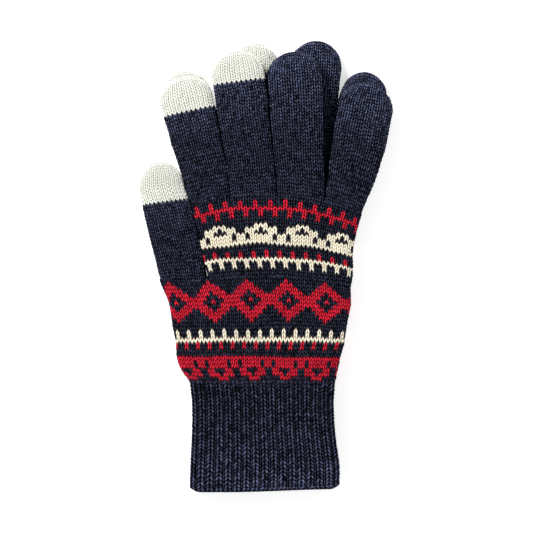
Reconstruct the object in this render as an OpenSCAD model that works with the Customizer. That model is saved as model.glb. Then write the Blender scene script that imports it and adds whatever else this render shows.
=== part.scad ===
// A pair of seamless knitted touchscreen gloves, laid flat and stacked.
// X runs across the hand, Y from the cuff to the fingertips, and Z = 0 is the surface they lie on.
// Each glove is a set of hollow flat tubes: a rib cuff, two hand tubes, and five digits.

/* [Fabric] */
// Thickness of one glove lying flat, both layers and the air between them
glove_t = 8; // [8:0.1:10]
// Thickness of the knitted fabric
wall = 1.5; // [1.2:0.1:1.6]
// Clearance between the two stacked gloves
stack_gap = 0.3; // [0.3:0.1:1]
// Clearance between two digits side by side
side_gap = 0.6; // [0.5:0.1:1]

/* [Hand] */
// Y of the line where the four fingers are joined to the hand
root_y = 37.5; // [35:0.5:40]
// Y of the thumb crotch, where the thumb is joined
crotch_y = -4; // [-6:0.5:-2]
// Y of the wrist line, where the rib starts
wrist_y = -59.5; // [-62:0.5:-57]
// X of the thumb's outer side at the crotch
thumb_side_x = -54; // [-57:0.5:-53]
// X of the hand's thumb side at the crotch
crotch_x = -30; // [-31:0.5:-29]
// X of the hand's little-finger side at the crotch
heel_x = 44.5; // [43:0.5:46]

/* [Cuff] */
// Length of the rib cuff, with its edge
cuff_len = 55; // [50:0.5:60]
// Width of the cuff lying flat
cuff_w = 74; // [70:0.5:76]
// Middle of the cuff across the hand
cuff_x = -1; // [-3:0.1:1]
// Length of the stitched edge
edge_len = 1.5; // [1:0.5:3]
// Number of elastic threads
elastic_count = 8; // [4:1:12]
// Thickness of an elastic thread
elastic_d = 0.5; // [0.4:0.1:0.6]

/* [Fingertips] */
// Length of the off-white cap, measured back from the end of the index
index_cap = 17; // [14:1:22]
// Length of the off-white cap on the middle finger
middle_cap = 15; // [14:1:22]
// Length of the off-white cap on the thumb
thumb_cap = 20; // [16:1:24]

/* [Hidden] */
PARTS = ["cuff", "cuff_edge", "cuff_elastic", "five_finger_palm", "four_finger_palm",
    "thumb", "thumb_tip", "index", "index_tip", "middle", "middle_tip", "ring", "little"];

navy = "#1d2233";
offwhite = "#e8e6da";
thread = "#262b3d";
rubber = "#3a3d46";

half_t = glove_t / 2;
end_steps = 6;          // segments in each rounded side of a tube
cuff_end_y = wrist_y - cuff_len;
elastic_play = 0.05;    // room around an elastic thread in its channel

// A digit is [left x, right x, y] of its root, then [x, y, half width, lean] of its shoulder,
// where the rounded end starts, the length of that end, and how far its right side bows out.
// Lean is in degrees, to the left.
function root_of(digit) = digit[0];
function shoulder_of(digit) = digit[1];
function end_of(digit) = digit[2];
function bow_of(digit) = digit[3];

upper_index = [[-39.5, -17.2, root_y], [-39.9, 84.6, 13.4, 12.5], 11, 0];
upper_middle = [[-17.2, 6.4, root_y], [-13.3, 96.2, 13.4, 7.5], 12.6, 0];
upper_ring = [[6.4, 30.9, root_y], [15.4, 95, 14.1, 3], 13.5, 0];
upper_little = [[30.9, 53.3, root_y], [51.1, 78.8, 14, -13.5], 13.7, 0.7];
upper_thumb = [[thumb_side_x, crotch_x, crotch_y], [-52.6, 39.5, 11.4, 8], 13, 0.45];

lower_index = [[-39.5, -18.6, root_y], [-40.4, 86.7, 12.7, 13.5], 13, 0.8];
lower_middle = [[-18.6, 7.8, root_y], [-5.4, 100.2, 12.8, -1], 14, 0];
lower_ring = [[7.8, 32.4, root_y], [26.2, 100.6, 13.4, -2], 14.7, -0.3];
lower_little = [[32.4, 53.3, root_y], [50.6, 84.6, 12.1, -12], 14.8, 0.3];
lower_thumb = [[thumb_side_x, crotch_x, crotch_y], [-52.2, 38.5, 11.3, 8], 13, 0.45];

// Where the hand's two sides run, as [y, left x, right x] from the wrist to the finger roots
palm_sides = [
    [wrist_y, cuff_x - cuff_w / 2, cuff_x + cuff_w / 2],
    [-52, -42.8, 37.6],
    [-38, -45.3, 40.8],
    [-20, -48.9, 43.4],
    [crotch_y, thumb_side_x, heel_x]
];
hand_sides = [
    [crotch_y, crotch_x + side_gap, heel_x],
    [9, -32, 45.1],
    [22, -35.2, 47.8],
    [root_y, -39.5, 53.3]
];

// The outline of a flat tube at [x, y], half width w and half thickness t, turned by lean
function oval(x, y, z, w, t, lean) = [
    for (side = [1, -1]) for (i = [0:end_steps])
        let (a = 180 - side * 90 - 180 * i / end_steps)
        let (u = side * (w - t) + t * cos(a), v = t * sin(a))
        [x + u * cos(lean), y + u * sin(lean), z + v]
];
function oval_points() = 2 * (end_steps + 1);

// A station is [x, y, half width, half thickness, lean]; the wall goes inwards from it
function outer_oval(s, z) = oval(s[0], s[1], z, s[2], s[3], s[4]);
function inner_oval(s, z) = oval(s[0], s[1], z, s[2] - wall, s[3] - wall, s[4]);

// Side faces between rings k and k + 1, where each ring has n points
function band(k, n, base, flip) = [
    for (i = [0:n - 1])
        let (j = (i + 1) % n, a = base + k * n + i, b = base + k * n + j, c = a + n, d = b + n)
        each flip ? [[a, b, c], [b, d, c]] : [[a, c, b], [b, c, d]]
];

// A hollow flat tube through its stations, open at both ends
module open_tube(stations, z) {
    n = oval_points();
    count = len(stations);
    inner = n * count;
    points = concat(
        [for (s = stations) each outer_oval(s, z)],
        [for (s = stations) each inner_oval(s, z)]
    );
    last = (count - 1) * n;
    faces = concat(
        [for (k = [0:count - 2]) each band(k, n, 0, true)],
        [for (k = [0:count - 2]) each band(k, n, inner, false)],
        [for (i = [0:n - 1]) let (j = (i + 1) % n)
            each [[i, inner + i, j], [j, inner + i, inner + j]]],
        [for (i = [0:n - 1]) let (j = (i + 1) % n, a = last + i, b = last + j)
            each [[a, b, inner + a], [b, inner + b, inner + a]]]
    );
    polyhedron(points, faces, convexity = 6);
}

// A hollow flat tube that is open at its first station and closed by a cap at its last
module closed_tube(outer_stations, inner_stations, z) {
    n = oval_points();
    outer_count = len(outer_stations);
    inner_count = len(inner_stations);
    inner = n * outer_count;
    points = concat(
        [for (s = outer_stations) each outer_oval(s, z)],
        [for (s = inner_stations) each inner_oval(s, z)]
    );
    outer_last = (outer_count - 1) * n;
    inner_last = inner + (inner_count - 1) * n;
    faces = concat(
        [for (k = [0:outer_count - 2]) each band(k, n, 0, true)],
        [for (k = [0:inner_count - 2]) each band(k, n, inner, false)],
        [for (i = [0:n - 1]) let (j = (i + 1) % n)
            each [[i, inner + i, j], [j, inner + i, inner + j]]],
        [[for (i = [0:n - 1]) outer_last + i]],
        [[for (i = [n - 1:-1:0]) inner_last + i]]
    );
    polyhedron(points, faces, convexity = 6);
}

// Station of a digit's tapered length, from 0 at the root to 1 at the shoulder
function length_station(digit, f) =
    let (r = root_of(digit), s = shoulder_of(digit))
    let (half_root = (r[1] - r[0] - side_gap) / 2, turn = min(1, f / 0.5))
    let (bow = bow_of(digit) * sin(180 * f))
    [
        (r[0] + r[1]) / 2 * (1 - f) + s[0] * f + bow,
        r[2] * (1 - f) + s[1] * f,
        half_root * (1 - f) + s[2] * f + bow,
        half_t,
        s[3] * turn * turn * (3 - 2 * turn)
    ];

// Station of a digit's rounded end, at an angle from 0 at the shoulder to 90 at the very end
function end_station(digit, angle, shorter) =
    let (s = shoulder_of(digit), reach = (end_of(digit) - shorter) * sin(angle))
    [
        s[0] - reach * sin(s[3]),
        s[1] + reach * cos(s[3]),
        s[2] * pow(cos(angle), 0.88),
        half_t * sqrt(cos(angle)),
        s[3]
    ];

function digit_length(digit) =
    norm([shoulder_of(digit)[0] - (root_of(digit)[0] + root_of(digit)[1]) / 2,
        shoulder_of(digit)[1] - root_of(digit)[2]]);

// Share of the length at which a cap of that size starts
function cap_start(digit, cap) = 1 - (cap - end_of(digit)) / digit_length(digit);

end_angles = [18, 36, 52, 66, 77, 84];
inner_end_angles = [24, 46, 62, 74];

// The digit's tube from the root up to the share `top` of its length
module digit_tube(digit, top, z) {
    open_tube([for (f = [0, 0.17, 0.34, 0.5, 0.75, 1]) length_station(digit, f * top)], z);
}

// The digit's closed end, from the share `bottom` of its length
module digit_cap(digit, bottom, z) {
    straight = [for (f = [0, 0.5, 1]) length_station(digit, bottom + (1 - bottom) * f)];
    closed_tube(
        concat(straight, [for (a = end_angles) end_station(digit, a, 0)]),
        concat(straight, [for (a = inner_end_angles) end_station(digit, a, wall)]),
        z
    );
}

// A whole digit in one yarn, closed at its end
module plain_digit(digit, z) {
    straight = [for (f = [0, 0.17, 0.34, 0.5, 0.75, 1]) length_station(digit, f)];
    closed_tube(
        concat(straight, [for (a = end_angles) end_station(digit, a, 0)]),
        concat(straight, [for (a = inner_end_angles) end_station(digit, a, wall)]),
        z
    );
}

function side_station(row) = [(row[1] + row[2]) / 2, row[0], (row[2] - row[1]) / 2, half_t, 0];

// A flat rounded bar, as wide as the cuff less `inset` all round, lying from y down for `length`
module flat_bar(y, length, inset, z) {
    radius = half_t - inset;
    straight = cuff_w - glove_t;
    translate([cuff_x, y, z])
    rotate([90, 0, 0])
    linear_extrude(length) {
        square([straight, 2 * radius], center = true);
        for (side = [-1, 1])
            translate([side * straight / 2, 0])
            circle(r = radius, $fn = 48);
    }
}

function elastic_y(i) = wrist_y - (i + 1) * (cuff_len - edge_len) / (elastic_count + 1);

module cuff(z) {
    color(navy)
    difference() {
        flat_bar(wrist_y, cuff_len - edge_len, 0, z);
        translate([0, 1, 0]) flat_bar(wrist_y, cuff_len + 2, wall, z);
        for (i = [0:elastic_count - 1])
            flat_bar(elastic_y(i) + elastic_d / 2 + elastic_play, elastic_d + 2 * elastic_play,
                wall - elastic_d - elastic_play, z);
    }
}

module cuff_edge(z) {
    color(thread)
    difference() {
        flat_bar(cuff_end_y + edge_len, edge_len, 0, z);
        flat_bar(cuff_end_y + edge_len + 1, edge_len + 2, wall, z);
    }
}

module cuff_elastic(z) {
    color(rubber)
    for (i = [0:elastic_count - 1])
        difference() {
            flat_bar(elastic_y(i) + elastic_d / 2, elastic_d, wall - elastic_d, z);
            flat_bar(elastic_y(i) + elastic_d / 2 + 1, elastic_d + 2, wall, z);
        }
}

module five_finger_palm(z) {
    color(navy)
    open_tube([for (row = palm_sides) side_station(row)], z);
}

module four_finger_palm(z) {
    color(navy)
    open_tube([for (row = hand_sides) side_station(row)], z);
}

// One glove's part by name, at its height, with that glove's own digits
module glove_part(part, z, thumb, index, middle, ring, little) {
    if (part == "cuff") cuff(z);
    if (part == "cuff_edge") cuff_edge(z);
    if (part == "cuff_elastic") cuff_elastic(z);
    if (part == "five_finger_palm") five_finger_palm(z);
    if (part == "four_finger_palm") four_finger_palm(z);
    if (part == "thumb") color(navy) digit_tube(thumb, cap_start(thumb, thumb_cap), z);
    if (part == "thumb_tip") color(offwhite) digit_cap(thumb, cap_start(thumb, thumb_cap), z);
    if (part == "index") color(navy) digit_tube(index, cap_start(index, index_cap), z);
    if (part == "index_tip") color(offwhite) digit_cap(index, cap_start(index, index_cap), z);
    if (part == "middle") color(navy) digit_tube(middle, cap_start(middle, middle_cap), z);
    if (part == "middle_tip") color(offwhite) digit_cap(middle, cap_start(middle, middle_cap), z);
    if (part == "ring") color(navy) plain_digit(ring, z);
    if (part == "little") color(navy) plain_digit(little, z);
}

module upper(part) {
    glove_part(part, half_t + glove_t + stack_gap,
        upper_thumb, upper_index, upper_middle, upper_ring, upper_little);
}

module lower(part) {
    glove_part(part, half_t, lower_thumb, lower_index, lower_middle, lower_ring, lower_little);
}

for (part = PARTS)
    upper(part);
for (part = PARTS)
    lower(part);
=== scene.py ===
# A pair of knitted touchscreen gloves, laid flat and stacked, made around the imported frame.
# Every knitted tube is a mesh of real stitches: the mesh rows run along the two legs of each stitch, so the
# relief of the yarn and the edges of the colour pattern are both geometry. Sizes are in millimetres, and in
# metres where a comment says so.
import math

import bpy
import numpy as np
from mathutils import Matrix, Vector


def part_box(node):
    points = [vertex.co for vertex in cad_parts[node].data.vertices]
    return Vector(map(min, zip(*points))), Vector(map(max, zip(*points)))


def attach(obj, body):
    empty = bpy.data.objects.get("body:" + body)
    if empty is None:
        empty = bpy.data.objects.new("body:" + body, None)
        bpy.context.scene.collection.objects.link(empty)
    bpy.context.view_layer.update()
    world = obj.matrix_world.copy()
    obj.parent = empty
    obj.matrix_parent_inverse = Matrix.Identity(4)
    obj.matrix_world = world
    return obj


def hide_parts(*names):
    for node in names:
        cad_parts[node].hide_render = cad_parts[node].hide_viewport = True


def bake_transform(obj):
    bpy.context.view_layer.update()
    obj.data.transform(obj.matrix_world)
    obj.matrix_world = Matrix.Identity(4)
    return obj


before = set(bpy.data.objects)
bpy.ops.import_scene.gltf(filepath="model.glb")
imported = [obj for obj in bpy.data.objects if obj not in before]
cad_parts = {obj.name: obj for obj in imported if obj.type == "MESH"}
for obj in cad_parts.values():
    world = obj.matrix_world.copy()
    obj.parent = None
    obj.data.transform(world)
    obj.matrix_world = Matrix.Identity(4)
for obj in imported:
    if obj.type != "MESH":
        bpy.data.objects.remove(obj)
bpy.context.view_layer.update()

MM = 0.001


def box_mm(node):
    """Lowest and highest corner of a CAD node, in millimetres."""
    low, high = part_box(node)
    return np.array(low) / MM, np.array(high) / MM


# ---------------------------------------------------------------- sizes that come from the frame
GLOVES = ("upper", "lower")
hand_low, hand_high = box_mm("upper_four_finger_palm")
palm_low, palm_high = box_mm("upper_five_finger_palm")
edge_low = box_mm("upper_cuff_edge")[0]
ROOT_Y = hand_high[1]       # where the fingers leave the hand
CROTCH_Y = hand_low[1]      # where the thumb leaves the hand
WRIST_Y = palm_low[1]       # where the rib starts
CUFF_END_Y = edge_low[1]
GLOVE_T = palm_high[2] - palm_low[2]
MIDDLE_Z = {glove: sum(v[2] for v in box_mm(glove + "_five_finger_palm")) / 2 for glove in GLOVES}

# ---------------------------------------------------------------- the knit
FINGER_COURSE = 1.68        # height of one row of stitches along a digit
THUMB_COURSE = 1.55
CAP_COURSE = 1.6
FINGER_WALES = 24           # stitches round a digit
HAND_WALES = 72             # stitches round the four-finger hand
PALM_WALES = 90             # stitches round the five-finger palm
RIBS = 34                   # ribs round the cuff
HAND_COURSES = 24
PALM_COURSES = 28
CUFF_COURSES = 29
COLUMNS = 6                 # mesh columns in one stitch
ROWS = 4                    # mesh rows in one stitch
RIB_COLUMNS = 10            # mesh columns in one rib and its groove
ELASTICS = 8                # elastic threads laid in the rib
ELASTIC_FIRST = 2.5         # course of the first of them
ELASTIC_STEP = 3.2          # courses from one to the next
THREAD_COLUMNS = 12         # mesh columns of a thread in one rib
RIB_WINDS = 2               # turns of the spiral round a thread in one rib
SLANT = 1.0                 # how far a leg climbs across half a stitch, in courses
RELIEF = 0.7                # depth of the stitches
CHAIN_HALF = 0.41           # half width of a rib's chain of stitches, as a share of the rib and its groove
RIB_RISE = 0.6              # height of a rib over its groove
UNEVEN = 0.13               # how much the height of a leg varies
TALLEST = 1.2               # most that a leg's height comes to, as a share of the usual
SHELL = 1.5                 # thickness of the fabric
INNER_EVERY = 2             # courses to one mesh row of the inside
INNER_SHADE_TONE = 0.45         # painted shade tone of the inside, where 0 is a deep gap and 1 the top of a leg
TABLE_ROWS = 4              # rows to a course in the table of a tube's surface
TUCK = 0.4                  # how far a tube's first row is tucked under its neighbour's last
RIGHT_DROOP = 9.5           # how far the courses hang down 50 mm to the right of the middle
LEFT_DROOP = 5.5            # and 40 mm to the left of it
SIDE_ROUND = 9.5            # how far in from a fold the fabric still curves
ROUND_POWER = 2.3           # how square that curve is
HALF_T = GLOVE_T / 2 - 0.4  # half thickness of a glove under the relief

# A digit: x of its root's two sides, then x, y, half width and lean of its shoulder, the length of its
# rounded end, how far its right side bows out, and the length of its off-white cap (0 for none).
DIGITS = {
    "upper": {
        "thumb": (-54, -30, -52.6, 39.5, 11.4, 8, 13, 0.45, 20),
        "index": (-39.5, -17.2, -39.9, 84.6, 13.4, 12.5, 11, 0, 17),
        "middle": (-17.2, 6.4, -13.3, 96.2, 13.4, 7.5, 12.6, 0, 15),
        "ring": (6.4, 30.9, 15.4, 95, 14.1, 3, 13.5, 0, 0),
        "little": (30.9, 53.3, 51.1, 78.8, 14, -13.5, 13.7, 0.7, 0),
    },
    "lower": {
        "thumb": (-54, -30, -52.2, 38.5, 11.3, 8, 13, 0.45, 20),
        "index": (-39.5, -18.6, -40.4, 86.7, 12.7, 13.5, 13, 0.8, 17),
        "middle": (-18.6, 7.8, -5.4, 100.2, 12.8, -1, 14, 0, 15),
        "ring": (7.8, 32.4, 26.2, 100.6, 13.4, -2, 14.7, -0.3, 0),
        "little": (32.4, 53.3, 50.6, 84.6, 12.1, -12, 14.8, 0.3, 0),
    },
}
SIDE_GAP = 0.6              # room between two digits side by side
PLUMP = 0.23                # how much of that room the soft fabric takes up on each side

# Where the sides of the cuff and the hand run: y, left x, right x
CUFF_SIDES = ((CUFF_END_Y, -38, 38.2), (-105, -37.8, 38.3), (-85, -36.9, 36), (-70, -36.9, 35.3),
              (WRIST_Y, -38, 36))
PALM_SIDES = ((WRIST_Y, -38, 36), (-52, -42.8, 37.6), (-38, -45.3, 40.8), (-20, -48.9, 43.4),
              (CROTCH_Y, -54, 44.5))
HAND_SIDES = ((CROTCH_Y, -29.4, 44.5), (9, -32, 45.1), (22, -35.2, 47.8), (ROOT_Y, -39.5, 53.3))

# The colour pattern, top row first: r is red, c is cream and a dot is navy. Each row repeats round the hand.
BUDS_RED = ("r..", "r..", "rrr", ".r.", ".r.")
SCALLOPS = ("...ccc...", ".ccc.ccc.", ".cc...cc.", "c.ccccc.c", "c.ccccc.c", "ccccccccc")
BUDS_MIXED = ("r..", "r..", "ccc", ".c.", ".c.")
LOZENGES = ("....r....", "...rrr...", "..rrrrr..", ".rrr.rrr.", "rrr...rrr", "rr..r..rr",
            "rrr...rrr", ".rrr.rrr.", "..rrrrr..", "...rrr...", "....r....")
BUDS_CREAM = (".c.", ".c.", "ccc", "r..", "r..")
SCALLOPS_DOWN = tuple(row.replace("c", "r") for row in reversed(SCALLOPS))
PLAIN = (".",)
# Each band with the wale at which its repeat starts
HAND_BANDS = ((PLAIN * 2, 0), (BUDS_RED, 1), (PLAIN * 2, 0), (SCALLOPS, 1), (PLAIN * 2, 0),
              (BUDS_MIXED, 0), (PLAIN * 2, 0))
PALM_BANDS = ((PLAIN, 0), (LOZENGES, 7), (PLAIN * 2, 0), (BUDS_CREAM, 0), (PLAIN * 2, 0),
              (SCALLOPS_DOWN, 7), (PLAIN, 0))
YARNS = ".rc"


def chart(bands, courses, wales):
    """Yarn number of every stitch, bottom course first."""
    rows = [[YARNS.index(row[(w - start) % len(row)]) for w in range(wales)]
            for band, start in bands for row in band]
    assert len(rows) == courses
    return np.array(rows[::-1])


# ---------------------------------------------------------------- small helpers
def smooth(value):
    """0 below 0, 1 above 1, and an easy curve between."""
    value = np.clip(value, 0, 1)
    return value * value * (3 - 2 * value)


def wander(seed, span, x, y):
    """A slow random field between about -1 and 1, with waves around span millimetres long."""
    random = np.random.default_rng(seed)
    total = 0
    for _ in range(6):
        angle, phase = random.uniform(0, 2 * math.pi, 2)
        rate = 2 * math.pi / (span * random.uniform(0.7, 1.6))
        total = total + np.sin(rate * (x * math.cos(angle) + y * math.sin(angle)) + phase)
    return total / 3


def through(points, column):
    """A smooth function of y through column of the rows, which start with y."""
    ys = np.array([p[0] for p in points], float)
    xs = np.array([p[column] for p in points], float)
    slopes = np.gradient(xs, ys)

    def at(y):
        y = np.asarray(y, float)
        k = np.clip(np.searchsorted(ys, y) - 1, 0, len(ys) - 2)
        step = ys[k + 1] - ys[k]
        t = (y - ys[k]) / step
        inside = (2 * t**3 - 3 * t**2 + 1) * xs[k] + (t**3 - 2 * t**2 + t) * step * slopes[k] \
            + (3 * t**2 - 2 * t**3) * xs[k + 1] + (t**3 - t**2) * step * slopes[k + 1]
        low = xs[0] + (y - ys[0]) * slopes[0]
        high = xs[-1] + (y - ys[-1]) * slopes[-1]
        return np.where(t < 0, low, np.where(t > 1, high, inside))

    return at


def puff(inset, depth, half_t):
    """Half thickness of a flat tube at a distance in from its fold."""
    reach = np.clip(inset / depth, 0, 1)
    return half_t * (1 - (1 - reach) ** ROUND_POWER) ** (1 / ROUND_POWER)


def even_shares(count, half_w, half_t):
    """count + 1 places across a tube's front, -1 to 1, evenly spaced along the fabric."""
    depth = min(half_w, SIDE_ROUND)
    turn = np.linspace(0, math.pi / 2, 24)
    x = -half_w + depth * (1 - np.cos(turn) ** (2 / ROUND_POWER))
    x = np.append(x, 0)
    z = puff(x + half_w, depth, half_t)
    length = np.append(0, np.cumsum(np.hypot(np.diff(x), np.diff(z))))
    even = np.interp(np.linspace(0, length[-1], count // 2 + 1), length, x) / half_w
    return np.concatenate([even, -even[-2::-1]])


def droop(x, y):
    """How far the courses hang down towards the sides of the hand."""
    share = smooth((y - WRIST_Y) / (ROOT_Y - WRIST_Y))
    right = (x / 50) ** 2 * (RIGHT_DROOP * share)
    left = (np.minimum(-x, 34) / 40) ** 2 * (LEFT_DROOP * share)
    return np.where(x > 0, right, left)


def unit(vectors):
    """The vectors at a length of 1."""
    return vectors / np.maximum(np.linalg.norm(vectors, axis=2, keepdims=True), 1e-9)


# ---------------------------------------------------------------- base surfaces
# A surface is a table of points: its rows are courses from `first`, `per_course` to a course, and its
# columns go round the tube from the left fold over the front and back along the underside.
class Surface:
    def __init__(self, points, first, per_course):
        self.points, self.first, self.per_course = points, first, per_course
        across = np.roll(points, -1, 1) - np.roll(points, 1, 1)
        along = np.gradient(points, axis=0)
        self.normals = unit(np.cross(across, along))

    def at(self, course):
        """Points and normals where course gives a place for every row and column."""
        place = np.clip((course - self.first) * self.per_course, 0, len(self.points) - 1.000001)
        row = place.astype(int)
        part = (place - row)[..., None]
        column = np.broadcast_to(np.arange(self.points.shape[1]), place.shape)
        found = []
        for table in (self.points, self.normals):
            found.append(table[row, column] * (1 - part) + table[row + 1, column] * part)
        return found[0], unit(found[1])


def ring_shares(shares):
    """Places across and the side, 1 for front and -1 for back, for the whole way round."""
    across = np.concatenate([shares, shares[-2:0:-1]])
    side = np.concatenate([np.ones(len(shares)), -np.ones(len(shares) - 2)])
    side[0] = side[len(shares) - 1] = 0
    return across, side


class Tube:
    """A tube whose ring() gives the points round it at a course."""

    courses_before = 2          # courses tabled under the first one
    courses_beyond = 0          # courses tabled over the last one

    def surface(self, columns, inset=0.0):
        steps = (self.courses_before + self.courses + self.courses_beyond) * TABLE_ROWS
        rows = [self.ring(k / TABLE_ROWS - self.courses_before, columns, inset) for k in range(steps + 1)]
        return Surface(np.array(rows), -self.courses_before, TABLE_ROWS)


class Digit(Tube):
    """The shape of one digit: a tapering flat tube with a rounded end."""

    def __init__(self, glove, name):
        self.left, self.right, self.x, self.y, self.half_w, lean, self.end, self.bow, self.cap = \
            DIGITS[glove][name]
        self.lean = math.radians(lean)
        self.root_y = CROTCH_Y if name == "thumb" else ROOT_Y
        self.middle_z = MIDDLE_Z[glove]
        self.length = math.hypot(self.x - (self.left + self.right) / 2, self.y - self.root_y)
        self.cap_start = 1 - (self.cap - self.end) / self.length if self.cap else 1
        course = THUMB_COURSE if name == "thumb" else FINGER_COURSE
        self.tube_courses = round(self.cap_start * self.length / course)
        self.straight_courses = self.tube_courses
        if self.cap:
            self.straight_courses += max(1, round((1 - self.cap_start) * self.length / CAP_COURSE))
        self.end_courses = round((self.end + 0.7 * HALF_T) / (CAP_COURSE if self.cap else course))
        self.outer_side = {"thumb": -1, "index": -1, "little": 1}.get(name, 0)
        self.courses = self.straight_courses + self.end_courses
        self.seed = 100 * (glove == "lower") + sorted(DIGITS[glove]).index(name)

    def station(self, share):
        """Centre x and y, half width and lean of the ring at a share of the straight length."""
        share_in = max(share, 0)
        root_w = (self.right - self.left - SIDE_GAP) / 2
        bow = self.bow * math.sin(math.pi * share_in)
        x = (self.left + self.right) / 2 * (1 - share_in) + self.x * share_in + bow
        y = self.root_y * (1 - share) + self.y * share
        half_w = root_w * (1 - share_in) + self.half_w * share_in + bow
        half_w += PLUMP * smooth(5 * (1 - share))
        return x, y, half_w, self.lean * smooth(2 * share_in)

    def ring(self, course, columns, inset):
        half_t = HALF_T - inset
        if course <= self.straight_courses:
            if course <= self.tube_courses:
                share = self.cap_start * course / self.tube_courses
            else:
                part = (course - self.tube_courses) / (self.straight_courses - self.tube_courses)
                share = self.cap_start + (1 - self.cap_start) * part
            x, y, half_w, lean = self.station(share)
            half_w -= inset
            across, side = ring_shares(even_shares(columns // 2, half_w, half_t))
            u, v = across * half_w, np.zeros(columns)
            depth = half_w * (1 - np.abs(across))
        else:
            part = (course - self.straight_courses) / self.end_courses
            x, y, half_w, lean = self.x, self.y, self.half_w - inset, self.lean
            end = self.end - inset
            across, side = ring_shares(even_shares(columns // 2, half_w, half_t))
            place = self.end_place(part, half_w, end, half_t)
            u = half_w * across * np.sqrt(1 - place**2 / 2)
            v = end * place * np.sqrt(1 - across**2 / 2)
            depth = half_w * (1 - np.sqrt((u / half_w) ** 2 + (v / end) ** 2))
        z = side * puff(np.maximum(depth, 0), min(half_w, SIDE_ROUND), half_t)
        px = x + u * math.cos(lean) - v * math.sin(lean)
        py = y + u * math.sin(lean) + v * math.cos(lean)
        away = smooth((py - self.root_y) / 20)
        level = py
        py = py - droop(px, self.root_y) * (1 - away)
        px = px + self.follow_outline(px, level, py)
        z = z * (1 + 0.05 * wander(self.seed, 22, px, py) * smooth(np.abs(z)))
        px = px + 0.25 * wander(self.seed + 7, 16, 0 * px, py)
        return np.stack([px, py, z + self.middle_z], 1)

    def follow_outline(self, px, before, after):
        """The step sideways that keeps a drooping course of an outer digit to the outline of the hand."""
        if not self.outer_side:
            return 0 * px
        right = self.outer_side > 0
        root, inner = (self.right, self.left) if right else (self.left, self.right)
        shoulder = self.x + self.outer_side * self.half_w
        slope = (shoulder - root) / (self.y - self.root_y)
        side = HAND_SIDE[right] if self.root_y == ROOT_Y else PALM_SIDE[0]
        lower = np.minimum(after, self.root_y)
        edge = side(lower) - side(self.root_y) + slope * np.maximum(after - self.root_y, 0)
        step = edge - slope * np.maximum(before - self.root_y, 0)
        return step * np.clip((px - inner) / (root - inner), 0, 1.1)

    def end_place(self, part, half_w, end, half_t):
        """Where along the rounded end a row lies, so that rows are evenly spaced over the fabric."""
        place = np.sin(np.linspace(0, math.pi / 2, 40))
        z = puff(half_w * (1 - place), min(half_w, SIDE_ROUND), half_t)
        length = np.append(0, np.cumsum(np.hypot(np.diff(end * place), np.diff(z))))
        return float(np.interp(part * length[-1], length, place))


HAND_SIDE = (through(HAND_SIDES, 1), through(HAND_SIDES, 2))
PALM_SIDE = (through(PALM_SIDES, 1), through(PALM_SIDES, 2))


class Palm(Tube):
    """The shape of one of the two hand tubes, between two lines across the hand."""

    courses_beyond = 1

    def __init__(self, glove, sides, courses, roots, seed):
        self.low_y, self.high_y = sides[0][0], sides[-1][0]
        self.left, self.right = through(sides, 1), through(sides, 2)
        self.courses, self.roots, self.seed = courses, roots, seed
        self.middle_z = MIDDLE_Z[glove]

    def ring(self, course, columns, inset):
        half_t = HALF_T - inset
        y = self.low_y + (self.high_y - self.low_y) * course / self.courses
        held = float(np.clip(y, self.low_y, self.high_y))
        half_w = float(self.right(held) - self.left(held)) / 2 - inset
        across, side = ring_shares(even_shares(columns // 2, half_w, half_t))
        x = float(self.right(held) + self.left(held)) / 2 + across * half_w
        py = y - droop(x, y)
        held = np.clip(py, self.low_y - 3, self.high_y)
        half_w = (self.right(held) - self.left(held)) / 2 - inset
        if self.low_y == CROTCH_Y:
            half_w = half_w + PLUMP * smooth((py - self.low_y) / 4)
        px = (self.right(held) + self.left(held)) / 2 + across * half_w
        z = puff(half_w * (1 - np.abs(across)), SIDE_ROUND, half_t)
        split = np.zeros(columns)
        for left, right in self.roots:
            root_w = (right - left - SIDE_GAP) / 2 + PLUMP - inset
            depth = root_w - np.abs(px - (left + right) / 2)
            split = np.maximum(split, puff(np.maximum(depth, 0), min(root_w, SIDE_ROUND), half_t))
        near = smooth((y - self.high_y + 11) / 11) ** 1.5
        z = z * (1 - near) + np.minimum(split, z) * near
        z = z * (1 + 0.06 * wander(self.seed, 30, px, py) * smooth(z))
        px = px + 0.3 * wander(self.seed + 3, 18, 0 * px, py)
        return np.stack([px, py, side * z + self.middle_z], 1)


class Cuff(Tube):
    """The shape of the rib cuff, which flares a little towards its edge."""

    courses_before = 1
    courses_beyond = 2

    def __init__(self, glove):
        self.courses = CUFF_COURSES
        self.middle_z = MIDDLE_Z[glove]
        self.low_y, self.high_y = CUFF_END_Y + 1.0, WRIST_Y
        self.left, self.right = through(CUFF_SIDES, 1), through(CUFF_SIDES, 2)
        self.seed = 40 + 100 * (glove == "lower")

    def ring(self, course, columns, inset):
        half_t = HALF_T - inset
        y = self.low_y + (self.high_y - self.low_y) * course / self.courses
        half_w = float(self.right(y) - self.left(y)) / 2 - inset
        across, side = ring_shares(even_shares(columns // 2, half_w, half_t))
        px = float(self.right(y) + self.left(y)) / 2 + across * half_w
        z = side * puff(half_w * (1 - np.abs(across)), SIDE_ROUND * 0.8, half_t)
        low = smooth((self.low_y + 22 - y) / 22)
        corner = np.clip((np.abs(across) - 0.88) / 0.12, 0, 1) ** 2
        py = y + low * (1.6 * smooth((px + 20) / 60) - 1.1 + 1.7 * corner)
        px = px + 0.5 * wander(self.seed + 1, 25, 0 * px + side * 9, py) * (1 - np.abs(across))
        return np.stack([px, py, z + self.middle_z], 1)


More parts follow.
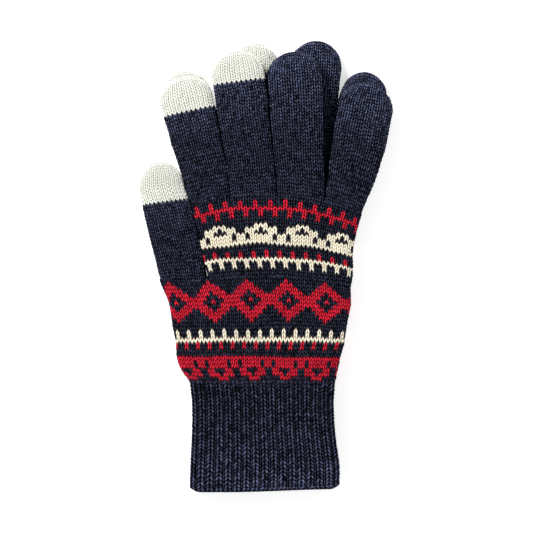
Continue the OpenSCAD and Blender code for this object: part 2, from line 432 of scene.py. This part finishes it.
# ---------------------------------------------------------------- stitches
class Stitches:
    """One kind of knitting round a tube, with a value for every mesh column.

    slant is how far the rows hang down there, leg how high the yarn stands, and rise how high the rib stands.
    """

    def __init__(self, wales, step, slant, leg, rise=None):
        self.wales, self.step, self.columns = wales, step, wales * step
        self.slant, self.leg = np.tile(slant, wales), np.tile(leg, wales)
        self.rise = None if rise is None else np.tile(rise, wales)


def stocking(wales):
    """Stockinette: each stitch has two legs, which meet at its middle."""
    t = np.arange(COLUMNS) / COLUMNS
    slant = -SLANT * np.abs(2 * t - 1)
    leg = 0.2 + 0.8 * np.abs(np.sin(2 * math.pi * t)) ** 0.7
    leg[t == 0.5] = 0.05
    return Stitches(wales, COLUMNS, slant, leg)


def rib():
    """One by one rib: a raised chain of stitches, then a groove."""
    t = np.arange(RIB_COLUMNS) / RIB_COLUMNS
    chain = np.abs(t - 0.5) < CHAIN_HALF
    across = np.clip((t - 0.5) / CHAIN_HALF, -1, 1)
    slant = np.where(chain, -SLANT * np.abs(across), -SLANT)
    leg = np.where(chain, np.sin(math.pi * np.abs(across)) ** 0.9, 0.5)
    rise = smooth((0.52 - np.abs(t - 0.5)) / 0.2)
    return Stitches(RIBS, RIB_COLUMNS, slant, leg, rise)


def stitch_relief(course, stitches, seed):
    """Height over the base, 0 to TALLEST, of every mesh point, with each leg a little different."""
    random = np.random.default_rng(seed)
    rows, columns = len(course), stitches.columns
    part = np.mod(course, 1.0)
    bump = np.sqrt(np.maximum(0, 1 - (2 * part - 1) ** 2))
    tall = 1 + UNEVEN * random.standard_normal((rows // ROWS + 2, 2 * stitches.wales))
    cell_row = np.floor(course - course[0] + 1e-6).astype(int)
    cell_column = (np.arange(columns) * 2) // stitches.step
    height = (0.12 + 0.88 * bump[:, None]) * stitches.leg
    return np.clip(height * tall[cell_row][:, cell_column], 0, TALLEST)


def stitch_shift(course, stitches, seed):
    """Small uneven shifts of the courses, in courses, so that the rows aren't ruled lines."""
    random = np.random.default_rng(seed + 1)
    wale = np.arange(stitches.columns) / stitches.step
    total = np.zeros((len(course), stitches.columns))
    for _ in range(5):
        turns = random.integers(1, 7)
        rate = random.uniform(0.15, 0.9)
        phase = random.uniform(0, 2 * math.pi)
        total += np.sin(rate * course[:, None] + 2 * math.pi * turns * wale / stitches.wales + phase)
    nudge = np.repeat(random.standard_normal(stitches.wales), stitches.step)
    return 0.09 * total + 0.08 * nudge


def ring_quads(rows, columns, base=0, flip=False):
    """Quads between rows of a closed ring grid."""
    row = np.arange(rows - 1)[:, None] * columns
    here = np.arange(columns)[None, :]
    after = (here + 1) % columns
    quads = np.stack([row + here, row + after, row + columns + after, row + columns + here], 2)
    quads = quads.reshape(-1, 4) + base
    return quads[:, ::-1] if flip else quads


def zip_last(quads, first_of_last, columns):
    """Joins the last ring's back to its front, which closes a digit's end."""
    half = columns // 2
    place = quads - first_of_last
    back = (place > half) & (place < columns)
    return np.where(back, first_of_last + columns - place, quads)


def build_mesh(name, points, quads, shade_tone, painted_light, knit_uv, materials, yarns):
    """A mesh object from arrays, in metres."""
    used, packed = np.unique(quads, return_inverse=True)
    quads = packed.reshape(quads.shape)
    points = points[used]
    mesh = bpy.data.meshes.new(name)
    mesh.vertices.add(len(points))
    mesh.vertices.foreach_set("co", (points * MM).astype(np.float32).ravel())
    mesh.loops.add(quads.size)
    mesh.loops.foreach_set("vertex_index", quads.astype(np.int32).ravel())
    mesh.polygons.add(len(quads))
    mesh.polygons.foreach_set("loop_start", np.arange(0, quads.size, 4, dtype=np.int32))
    mesh.polygons.foreach_set("use_smooth", np.ones(len(quads), bool))
    mesh.polygons.foreach_set("material_index", yarns.astype(np.int32))
    mesh.update(calc_edges=True)
    layer = mesh.uv_layers.new(name="knit")
    layer.data.foreach_set("uv", knit_uv.astype(np.float32).ravel())
    for title, values in (("shade_tone", shade_tone), ("painted_light", painted_light)):
        layer = mesh.attributes.new(title, "FLOAT", "POINT")
        layer.data.foreach_set("value", values[used].astype(np.float32))
    for material in materials:
        mesh.materials.append(material)
    mesh.validate()
    made = bpy.data.objects.new(name, mesh)
    bpy.context.scene.collection.objects.link(made)
    return made


class KnitTube:
    """A knitted tube of the shape's courses first to last, with fabric thickness and real stitches.

    closed is for a tube that ends in a rounded end, tucked for one whose start is under its neighbour, level
    for one that starts with a straight edge, and the last flag for yarn with no painted shade at the folds.
    The
    last argument is two courses: the yarn's colour gets lighter from the first of them to the second, as
    painted light.
    """

    def __init__(self, shape, first, last, stitches, seed,
                 closed=False, tucked=False, level=False, pale=False, light_span=None):
        self.shape, self.first, self.last, self.stitches, self.seed = shape, first, last, stitches, seed
        self.closed, self.tucked, self.level, self.pale, self.light_span = closed, tucked, level, pale, light_span
        self.begin = first - 1 if tucked else first
        self.rows = (last - self.begin) * ROWS + 1
        self.inner_rows = max(3, (last - self.begin) // INNER_EVERY + 1)
        self.course = self.begin + np.arange(self.rows) / ROWS

    def places(self):
        """Where every point of the outside lies along the tube, in courses."""
        from_first, to_last = self.course - self.first, self.last - self.course
        ease = smooth(to_last / 2.5) if self.closed else np.ones(self.rows)
        shift = stitch_shift(self.course, self.stitches, self.seed) * ease[:, None]
        if self.level:
            ease = smooth(from_first / 2)
        if not self.tucked:
            shift *= smooth(from_first / 1.5)[:, None]
        if not self.closed:
            shift *= smooth(to_last / 1.5)[:, None]
        return self.course[:, None] + self.stitches.slant * ease[:, None] + shift

    def height(self, relief):
        """Height of every point of the outside over the shape."""
        height, rise = RELIEF * (relief - 0.5), self.stitches.rise
        if rise is not None:
            height = height * (0.6 + 0.4 * rise) + RIB_RISE * (rise - 0.75)
        if self.closed:
            height = height * smooth((self.last - self.course) / 0.7)[:, None]
        if self.tucked:
            height = height - TUCK * smooth((self.first + 0.1 - self.course) / 0.5)[:, None]
        return height

    def shade_tone(self, relief):
        """Painted shade tone of every point of the outside: 0 in a deep gap, 1 on top of a leg."""
        rise = self.stitches.rise
        # Painted shade in the rib's grooves as well as between the legs
        if rise is not None:
            return 0.5 * (1 - rise) + relief * (0.5 + 0.5 * rise)
        # Painted shade between the legs only, with none at the folds
        if self.pale:
            return relief
        # Painted shade between the legs, and more of it within about a stitch of the folds, at the creases
        # between digits and along the outline
        half = self.stitches.columns // 2
        from_fold = np.arange(self.stitches.columns) % half
        from_fold = np.minimum(from_fold, half - from_fold) / self.stitches.step
        return relief * (0.2 + 0.8 * smooth(1.1 * from_fold))

    def inside(self):
        """The points of the inside, SHELL under the shape."""
        place = np.linspace(self.begin, self.last, self.inner_rows)
        place = np.repeat(place[:, None], self.stitches.columns, 1)
        if not self.closed:
            place[-1] += 0.5 * self.stitches.slant
        if not self.level:
            place[0] += 0.5 * self.stitches.slant
        points, normals = self.shape.surface(self.stitches.columns, SHELL).at(place)
        if self.stitches.rise is not None:
            points = points - normals * 0.5 * (1 - self.stitches.rise)[:, None]
        return points

    def quads(self):
        """Quads of the outside, the inside, and the rims that join them."""
        rows, inner_rows, columns = self.rows, self.inner_rows, self.stitches.columns
        inner = rows * columns
        top, inner_top = (rows - 1) * columns, inner + (inner_rows - 1) * columns
        quads = [ring_quads(rows, columns), ring_quads(inner_rows, columns, inner, True)]
        here = np.arange(columns)
        after = (here + 1) % columns
        quads.append(np.stack([here, inner + here, inner + after, after], 1))
        if self.closed:
            quads[0] = zip_last(quads[0], top, columns)
            quads[1] = zip_last(quads[1], inner_top, columns)
        else:
            quads.append(np.stack([top + here, top + after, inner_top + after, inner_top + here], 1))
        return quads

    def uv(self, quads):
        """Wales across and courses along, so that a stitch is one square of the map."""
        columns, step = self.stitches.columns, self.stitches.step
        row = np.arange(self.rows - 1)[:, None] / ROWS + self.begin + np.zeros(columns)
        across = np.arange(columns) / step + 0 * row
        right, above = across + 1 / step, row + 1 / ROWS
        outside = np.stack([across, row, right, row, right, above, across, above], 2).reshape(-1, 4, 2)
        inner = quads[1] - self.rows * columns
        found = [outside, np.stack([np.mod(inner, columns) / step, inner // columns], 2)]
        for rim in quads[2:]:
            found.append(np.stack([np.mod(rim, columns) / step, np.full(rim.shape, 0.25)], 2))
        return np.concatenate(found)

    def build(self, name, materials, colours=None):
        """The mesh object. colours has a yarn number for every course and wale, or every stitch is yarn 0."""
        place = self.places()
        points, normals = self.shape.surface(self.stitches.columns).at(place)
        relief = stitch_relief(self.course, self.stitches, self.seed)
        points = points + normals * self.height(relief)[..., None]
        inner = self.inside()
        points = np.concatenate([points.reshape(-1, 3), inner.reshape(-1, 3)])

        inner_count = self.inner_rows * self.stitches.columns
        shade_tone = np.concatenate([self.shade_tone(relief).reshape(-1), np.full(inner_count, INNER_SHADE_TONE)])
        # Painted light: 0 before the span's first course, rising to 1 at its second
        painted_light = 0 * place
        if self.light_span:
            painted_light = smooth((place - self.light_span[0]) / (self.light_span[1] - self.light_span[0]))
        painted_light = np.concatenate([painted_light.reshape(-1), np.zeros(inner_count)])

        quads = self.quads()
        yarns = np.zeros(sum(len(part) for part in quads), int)
        if colours is not None:
            cell = np.floor(self.course[:-1] + 1e-6).astype(int)
            wale = np.arange(self.stitches.columns) // self.stitches.step
            outside = colours[np.clip(cell, 0, len(colours) - 1)][:, wale]
            yarns[:outside.size] = outside.reshape(-1)
        uv = self.uv(quads)
        return build_mesh(name, points, np.concatenate(quads), shade_tone, painted_light, uv, materials, yarns)


# ---------------------------------------------------------------- materials
class Nodes:
    """Short ways to add and join shader nodes."""

    def __init__(self, name):
        self.material = bpy.data.materials.new(name)
        self.material.use_nodes = True
        self.tree = self.material.node_tree
        self.shader = self.tree.nodes["Principled BSDF"]

    def add(self, kind, settings=None, **inputs):
        node = self.tree.nodes.new(kind)
        for key, value in (settings or {}).items():
            setattr(node, key, value)
        for key, value in inputs.items():
            self.set(node.inputs[int(key[1:])] if key[0] == "i" and key[1:].isdigit() else
                     node.inputs[key.replace("_", " ")], value)
        return node

    def set(self, socket, value):
        if isinstance(value, bpy.types.NodeSocket):
            self.tree.links.new(value, socket)
        else:
            socket.default_value = value

    def math(self, operation, a, b=0.0):
        return self.add("ShaderNodeMath", {"operation": operation}, i0=a, i1=b).outputs[0]

    def mix(self, share, a, b, blend="MIX"):
        node = self.add("ShaderNodeMix", {"data_type": "RGBA", "blend_type": blend}, i0=share, i6=a, i7=b)
        return node.outputs[2]

    def ramp(self, value, low, high):
        node = self.add("ShaderNodeMapRange", {"interpolation_type": "SMOOTHSTEP"}, i0=value, i1=low, i2=high)
        return node.outputs[0]


def rgba(red, green, blue):
    """A linear colour from the sRGB one that a screen shows, 0 to 255."""
    parts = [v / 255 for v in (red, green, blue)]
    return tuple(v / 12.92 if v <= 0.04045 else ((v + 0.055) / 1.055) ** 2.4 for v in parts) + (1.0,)


def yarn(name, lit, shade, fleck, deep, spread, rough, painted_shade_by=0.0, painted_light_gain=0.0):
    """Spun yarn: fibres along each leg, a two-ply twist, painted shade in the gaps, and a tone of its own per
    stitch.

    deep is the painted shade tone under which the yarn is in the shade, spread is how far the tones differ,
    and the last two paint light along the digits and the cuff: how much darker the yarn is where none of that
    light falls, and how much lighter it makes the yarn.
    """
    n = Nodes(name)
    uv = n.add("ShaderNodeUVMap", {"uv_map": "knit"}).outputs[0]
    parts = n.add("ShaderNodeSeparateXYZ", None, Vector=uv)
    across, along = parts.outputs[0], parts.outputs[1]
    leg = n.math("FLOOR", n.math("MULTIPLY", across, 2.0))
    stitch = n.add("ShaderNodeCombineXYZ", None, X=leg, Y=n.math("FLOOR", along))
    tone = n.add("ShaderNodeTexWhiteNoise", {"noise_dimensions": "2D"}, Vector=stitch.outputs[0]).outputs[0]
    part_place = n.add("ShaderNodeCombineXYZ", None, X=n.math("FLOOR", n.math("MULTIPLY", across, 4.0)),
                       Y=n.math("FLOOR", n.math("MULTIPLY", along, 2.0)))
    part = n.add("ShaderNodeTexWhiteNoise", {"noise_dimensions": "2D"},
                 Vector=part_place.outputs[0]).outputs[0]
    fibre_place = n.add("ShaderNodeCombineXYZ", None, X=n.math("MULTIPLY", across, 5.0),
                        Y=n.math("MULTIPLY", along, 17.0))
    fibre = n.add("ShaderNodeTexNoise", {"noise_dimensions": "2D"}, Vector=fibre_place.outputs[0],
                  Scale=1.0, Detail=3.0).outputs[0]
    twist_angle = n.math("ADD", n.math("MULTIPLY", across, 26.0), n.math("MULTIPLY", along, 12.0))
    twist = n.math("ADD", n.math("MULTIPLY", n.math("SINE", twist_angle), 0.5), 0.5)
    depth = n.add("ShaderNodeAttribute", {"attribute_name": "shade_tone"}).outputs[2]
    place = n.add("ShaderNodeNewGeometry").outputs["Position"]
    cloud = n.add("ShaderNodeTexNoise", None, Vector=place, Scale=45.0, Detail=2.0).outputs[0]

    colour = n.mix(n.math("MULTIPLY", n.ramp(fibre, 0.5, 0.8), 0.35), lit, fleck)
    # Painted shade: the yarn goes to its shade colour in the gaps between the legs
    colour = n.mix(n.ramp(depth, deep, deep + 0.6), shade, colour)
    both = n.math("ADD", n.math("MULTIPLY", tone, 0.25), n.math("MULTIPLY", part, 0.75))
    dim = n.math("ADD", 1.0 - spread / 2, n.math("MULTIPLY", both, spread))
    dim = n.math("MULTIPLY", dim, n.math("ADD", 0.86, n.math("MULTIPLY", cloud, 0.28)))
    dim = n.math("MULTIPLY", dim, n.math("ADD", 0.90, n.math("MULTIPLY", twist, 0.14)))
    # Painted light: the yarn is lighter where the painted light attribute is high and darker where it is low
    painted_light = n.add("ShaderNodeAttribute", {"attribute_name": "painted_light"}).outputs[2]
    dim = n.math("MULTIPLY", dim, n.math("ADD", 1.0 - painted_shade_by, n.math("MULTIPLY", painted_light, painted_light_gain)))
    grey = n.add("ShaderNodeCombineColor", None, i0=dim, i1=dim, i2=dim).outputs[0]
    colour = n.mix(1.0, colour, grey, "MULTIPLY")

    height = n.math("ADD", n.math("MULTIPLY", fibre, 0.7), n.math("MULTIPLY", twist, 0.5))
    bump = n.add("ShaderNodeBump", None, Strength=0.5, Distance=0.00012, Height=height)
    n.set(n.shader.inputs["Base Color"], colour)
    n.set(n.shader.inputs["Normal"], bump.outputs[0])
    n.shader.inputs["Roughness"].default_value = rough
    n.shader.inputs["Specular IOR Level"].default_value = 0.04
    return n.material


def elastic_thread():
    """Fine covered elastic: a dark rubber core under a spiral of thread."""
    n = Nodes("elastic_thread")
    place = n.add("ShaderNodeNewGeometry").outputs["Position"]
    wave = n.add("ShaderNodeTexWave", {"bands_direction": "DIAGONAL"}, Vector=place, Scale=900.0,
                 Distortion=1.0).outputs["Fac"]
    n.set(n.shader.inputs["Base Color"], n.mix(wave, rgba(30, 32, 40), rgba(62, 66, 80)))
    n.set(n.shader.inputs["Normal"], n.add("ShaderNodeBump", None, Strength=0.4, Distance=0.0001,
                                           Height=wave).outputs[0])
    n.shader.inputs["Roughness"].default_value = 0.6
    return n.material


def floor_material():
    """A pale matt surface that stays nearly white."""
    n = Nodes("pale_surface")
    place = n.add("ShaderNodeNewGeometry").outputs["Position"]
    grain = n.add("ShaderNodeTexNoise", None, Vector=place, Scale=400.0, Detail=2.0).outputs[0]
    n.set(n.shader.inputs["Base Color"], n.mix(grain, (0.90, 0.90, 0.90, 1), (0.94, 0.94, 0.94, 1)))
    n.shader.inputs["Roughness"].default_value = 0.9
    n.shader.inputs["Emission Color"].default_value = (1, 1, 1, 1)
    n.shader.inputs["Emission Strength"].default_value = 0.5
    return n.material


# The plain navy gets painted light towards the digits' tips and the cuff's edge
NAVY = yarn("navy_yarn", rgba(65, 69, 92), rgba(2, 3, 7), rgba(112, 119, 150), 0.38, 1.9, 0.8,
            painted_shade_by=0.14, painted_light_gain=1.15)
# A darker copy of the navy yarn for the patterned hand, as painted shade: the navy between the coloured
# stitches looks darker than in the plain tubes
NAVY_SHADED = yarn("navy_shaded_yarn", rgba(51, 54, 72), rgba(2, 3, 6), rgba(100, 106, 134), 0.38, 1.9, 0.8)
RED = yarn("red_yarn", rgba(231, 38, 62), rgba(84, 6, 16), rgba(252, 96, 116), 0.22, 0.7, 0.8)
CREAM = yarn("cream_yarn", rgba(255, 250, 230), rgba(180, 160, 124), rgba(255, 254, 248), 0.1, 0.2, 0.85)
TOUCH = yarn("touch_yarn", rgba(250, 251, 242), rgba(150, 152, 138), rgba(250, 250, 244), 0.08, 0.16, 0.85)
ELASTIC = elastic_thread()


# ---------------------------------------------------------------- pieces
def stand_for(node):
    """Hides the CAD node whose place the piece takes."""
    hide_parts(node)


def bend_at(piece):
    """Bakes the piece's placement into its mesh."""
    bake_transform(piece)


def make_digit(glove, name):
    shape = Digit(glove, name)
    node = glove + "_" + name
    whole = not shape.cap
    # Painted light: the navy gets lighter from a third of the way along the digit to its tip
    light_span = (0.3 * shape.courses, shape.courses)
    knit = KnitTube(shape, 0, shape.courses if whole else shape.tube_courses, stocking(FINGER_WALES),
                    shape.seed * 11 + 5, closed=whole, tucked=True, light_span=light_span)
    tube = knit.build(node + "_knit", [NAVY])
    stand_for(node)
    bend_at(tube)
    if shape.cap:
        knit = KnitTube(shape, shape.tube_courses, shape.courses, stocking(FINGER_WALES),
                        shape.seed * 11 + 6, closed=True, pale=True)
        cap = knit.build(node + "_tip_knit", [TOUCH])
        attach(cap, node)
        stand_for(node + "_tip")


def make_palm(glove, part, shape, wales, bands):
    """One of the two hand tubes, with its bands of pattern."""
    knit = KnitTube(shape, 0, shape.courses, stocking(wales), shape.seed, tucked=True)
    colours = chart(bands, shape.courses, wales)
    piece = knit.build(glove + "_" + part + "_knit", [NAVY_SHADED, RED, CREAM], colours)
    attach(piece, glove + "_hand")
    stand_for(glove + "_" + part)


def make_hand(glove):
    digits = DIGITS[glove]
    seed = 60 + 100 * (glove == "lower")
    finger_roots = [digits[name][:2] for name in ("index", "middle", "ring", "little")]
    hand = Palm(glove, HAND_SIDES, HAND_COURSES, finger_roots, seed)
    make_palm(glove, "four_finger_palm", hand, HAND_WALES, HAND_BANDS)
    palm_roots = [digits["thumb"][:2], (HAND_SIDES[0][1] - SIDE_GAP / 2, HAND_SIDES[0][2] + SIDE_GAP / 2)]
    palm = Palm(glove, PALM_SIDES, PALM_COURSES, palm_roots, seed + 20)
    make_palm(glove, "five_finger_palm", palm, PALM_WALES, PALM_BANDS)


def make_cuff(glove):
    shape = Cuff(glove)
    body = glove + "_cuff"
    # Painted light: the rib's navy gets lighter from its top towards its edge
    knit = KnitTube(shape, 0, CUFF_COURSES + 1, rib(), shape.seed, level=True,
                    light_span=(CUFF_COURSES, -0.5 * CUFF_COURSES))
    tube = knit.build(glove + "_cuff_knit", [NAVY])
    stand_for(body)
    bend_at(tube)
    edge = wound_thread(glove + "_cuff_edge_thread", [0], shape, SHELL / 2, 0.95, 0.12, 10, NAVY)
    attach(edge, body)
    stand_for(glove + "_cuff_edge")
    courses = [ELASTIC_FIRST + ELASTIC_STEP * k for k in range(ELASTICS)]
    elastic = wound_thread(glove + "_cuff_elastic_thread", courses, shape, SHELL * 0.6, 0.22, 0.05, 6,
                           ELASTIC)
    stand_for(glove + "_cuff_elastic")
    bend_at(elastic)


def wound_thread(name, courses, shape, inset, thick, wind, around, material):
    """Threads round the rib at the given courses, each with a spiral wound about it."""
    columns = RIBS * THREAD_COLUMNS
    points, quads, shade_tone = [], [], []
    for course in courses:
        rings = np.array([shape.ring(course + step, columns, inset) for step in (-0.5, 0, 0.5)])
        outward, centre = Surface(rings, -0.5, 2).normals[1], rings[1]
        angle = 2 * math.pi * np.arange(around) / around
        wound = 2 * math.pi * RIBS * RIB_WINDS * np.arange(columns) / columns
        wrap = 0.5 + 0.5 * np.sin(wound[None, :] + angle[:, None])
        radius = thick + wind * wrap
        ring = centre[None] + (radius * np.cos(angle)[:, None])[..., None] * outward[None] \
            + (radius * np.sin(angle)[:, None])[..., None] * np.array([0.0, 1.0, 0.0])
        found = ring_quads(around + 1, columns)
        found = np.where(found >= around * columns, found - around * columns, found)
        quads.append(found + sum(len(p) for p in points))
        points.append(ring.reshape(-1, 3))
        # Painted shade under the turns of the wound spiral
        shade_tone.append(wrap.reshape(-1))
    quads, shade_tone = np.concatenate(quads), np.concatenate(shade_tone)
    uv = np.stack([np.mod(quads, columns) / 6, quads // columns / 3], 2).astype(float)
    return build_mesh(name, np.concatenate(points), quads, shade_tone, 0 * shade_tone, uv, [material],
                      np.zeros(len(quads), int))


for glove in GLOVES:
    for digit in DIGITS[glove]:
        make_digit(glove, digit)
    make_hand(glove)
    make_cuff(glove)


# ---------------------------------------------------------------- stage, light and camera
FLOOR_SIDE = 3.0            # metres
CAMERA_PLACE = (1.05, -0.9, 767)    # millimetres
LOW_GLOW, HIGH_GLOW = 1.0, 0.4      # strength of the studio's walls and of its ceiling


def make_floor():
    mesh = bpy.data.meshes.new("surface")
    half = FLOOR_SIDE / 2
    corners = [(-half, -half, 0), (half, -half, 0), (half, half, 0), (-half, half, 0)]
    mesh.from_pydata(corners, [], [(0, 1, 2, 3)])
    mesh.materials.append(floor_material())
    floor = bpy.data.objects.new("surface", mesh)
    bpy.context.scene.collection.objects.link(floor)


def area_light(name, place, size, watts):
    """A square light at a place in metres that points at the origin."""
    data = bpy.data.lights.new(name, "AREA")
    data.shape = "SQUARE"
    data.size = size
    data.energy = watts
    light = bpy.data.objects.new(name, data)
    light.location = place
    light.rotation_euler = Vector(place).to_track_quat("Z", "Y").to_euler()
    bpy.context.scene.collection.objects.link(light)


def make_camera():
    data = bpy.data.cameras.new("camera")
    data.lens, data.sensor_width = 100, 36
    data.clip_end = 10
    camera = bpy.data.objects.new("camera", data)
    camera.location = Vector(CAMERA_PLACE) * MM
    bpy.context.scene.collection.objects.link(camera)
    bpy.context.scene.camera = camera


def make_world():
    """A soft studio that glows from its walls, and less from its ceiling."""
    world = bpy.data.worlds.new("studio")
    world.use_nodes = True
    tree = world.node_tree
    background = tree.nodes["Background"]
    background.inputs["Color"].default_value = (1, 1, 1, 1)
    direction = tree.nodes.new("ShaderNodeTexCoord").outputs["Generated"]
    parts = tree.nodes.new("ShaderNodeSeparateXYZ")
    tree.links.new(direction, parts.inputs[0])
    strength = tree.nodes.new("ShaderNodeMapRange")
    strength.interpolation_type = "SMOOTHSTEP"
    for title, value in (("From Min", 0.25), ("From Max", 0.5), ("To Min", LOW_GLOW), ("To Max", HIGH_GLOW)):
        strength.inputs[title].default_value = value
    tree.links.new(parts.outputs["Z"], strength.inputs[0])
    tree.links.new(strength.outputs[0], background.inputs["Strength"])
    bpy.context.scene.world = world
    bpy.context.scene.view_settings.view_transform = "Standard"


make_floor()
area_light("key", (-0.7, 0.8, 0.8), 0.35, 17.5)
area_light("fill", (0.7, -0.5, 0.9), 0.8, 4.0)
make_camera()
make_world()
